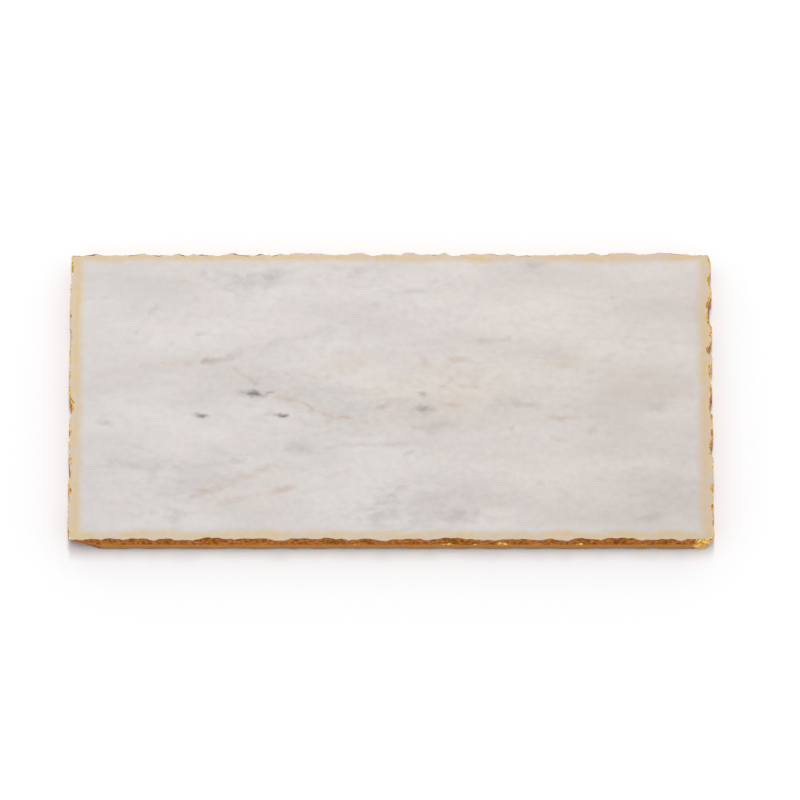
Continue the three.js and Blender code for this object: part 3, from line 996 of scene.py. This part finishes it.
TAPE_BULGE = 0.05 * MM
BULGE_STEPS = 6
for corner in CORNERS:
    low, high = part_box(f"adhesive_{corner}")
    radius = (high.x - low.x) / 2 - TAPE_BULGE
    profile = [(0, low.z)]
    for i in range(BULGE_STEPS + 1):
        turn = math.pi * i / BULGE_STEPS
        profile.append(
            (radius + TAPE_BULGE * math.sin(turn), low.z + (high.z - low.z) * (1 - math.cos(turn)) / 2)
        )
    profile.append((0, high.z))
    disc = turned(f"tape_disc_{corner}", profile, (low + high) / 2, tape, wobble=0.02)
    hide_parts(f"adhesive_{corner}")
    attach(disc, "root")

# ==== Studio ====
# A white table in a light tent that is darkest towards the front, under one long strip softbox that hangs
# high above the tray and a little behind it. The camera looks down from the front.

TARGET = Vector((0.0054, -0.0022, TOP))
CAMERA_ELEVATION = math.radians(74)
CAMERA_DISTANCE = 4.6
camera_data = bpy.data.cameras.new("camera")
camera_data.lens = 350
camera_data.sensor_width = 36
camera_data.clip_end = 50
camera = bpy.data.objects.new("camera", camera_data)
bpy.context.collection.objects.link(camera)
towards = Vector((0, -math.cos(CAMERA_ELEVATION), math.sin(CAMERA_ELEVATION)))
camera.location = TARGET + towards * CAMERA_DISTANCE
camera.rotation_euler = (-towards).to_track_quat("-Z", "Y").to_euler()
bpy.context.scene.camera = camera

bm = bmesh.new()
bmesh.ops.create_circle(bm, cap_ends=True, segments=96, radius=18)
paper, tree = new_material("white paper sweep")
shader = add_node(tree, "ShaderNodeBsdfPrincipled", {"Base Color": linear("#FAFAFA"), "Roughness": 0.9})
add_node(tree, "ShaderNodeOutputMaterial", {"Surface": shader.outputs[0]})
floor = finish_mesh("table", bm, paper)
floor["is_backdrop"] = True

world = bpy.data.worlds.new("studio")
bpy.context.scene.world = world
world.use_nodes = True
tree = world.node_tree
tree.nodes.clear()
direction = add_node(tree, "ShaderNodeTexCoord", {}).outputs["Generated"]
apart = add_node(tree, "ShaderNodeSeparateXYZ", {0: direction})
horizon = add_node(
    tree, "ShaderNodeMapRange",
    {"Value": apart.outputs["Z"], "From Min": 0.02, "From Max": 0.15, "To Min": 0.4, "To Max": 0},
)
tent = add_node(
    tree, "ShaderNodeMapRange",
    {"Value": apart.outputs["Y"], "From Min": -1, "From Max": 0, "To Min": 0.21, "To Max": 0.66},
)
light = add_node(tree, "ShaderNodeMath", {0: horizon.outputs[0], 1: tent.outputs[0]}, operation="ADD")
background = add_node(
    tree, "ShaderNodeBackground", {"Color": linear("#FAFBFF"), "Strength": light.outputs[0]}
)
add_node(tree, "ShaderNodeOutputWorld", {"Surface": background.outputs[0]})

lamp_data = bpy.data.lights.new("softbox", "AREA")
lamp_data.shape = "RECTANGLE"
lamp_data.size = 0.2
lamp_data.size_y = 3.0
lamp_data.energy = 92
lamp = bpy.data.objects.new("softbox", lamp_data)
bpy.context.collection.objects.link(lamp)
lamp.location = (0, 0.5, 4)

bpy.context.scene.view_settings.view_transform = "Standard"

low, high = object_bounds()
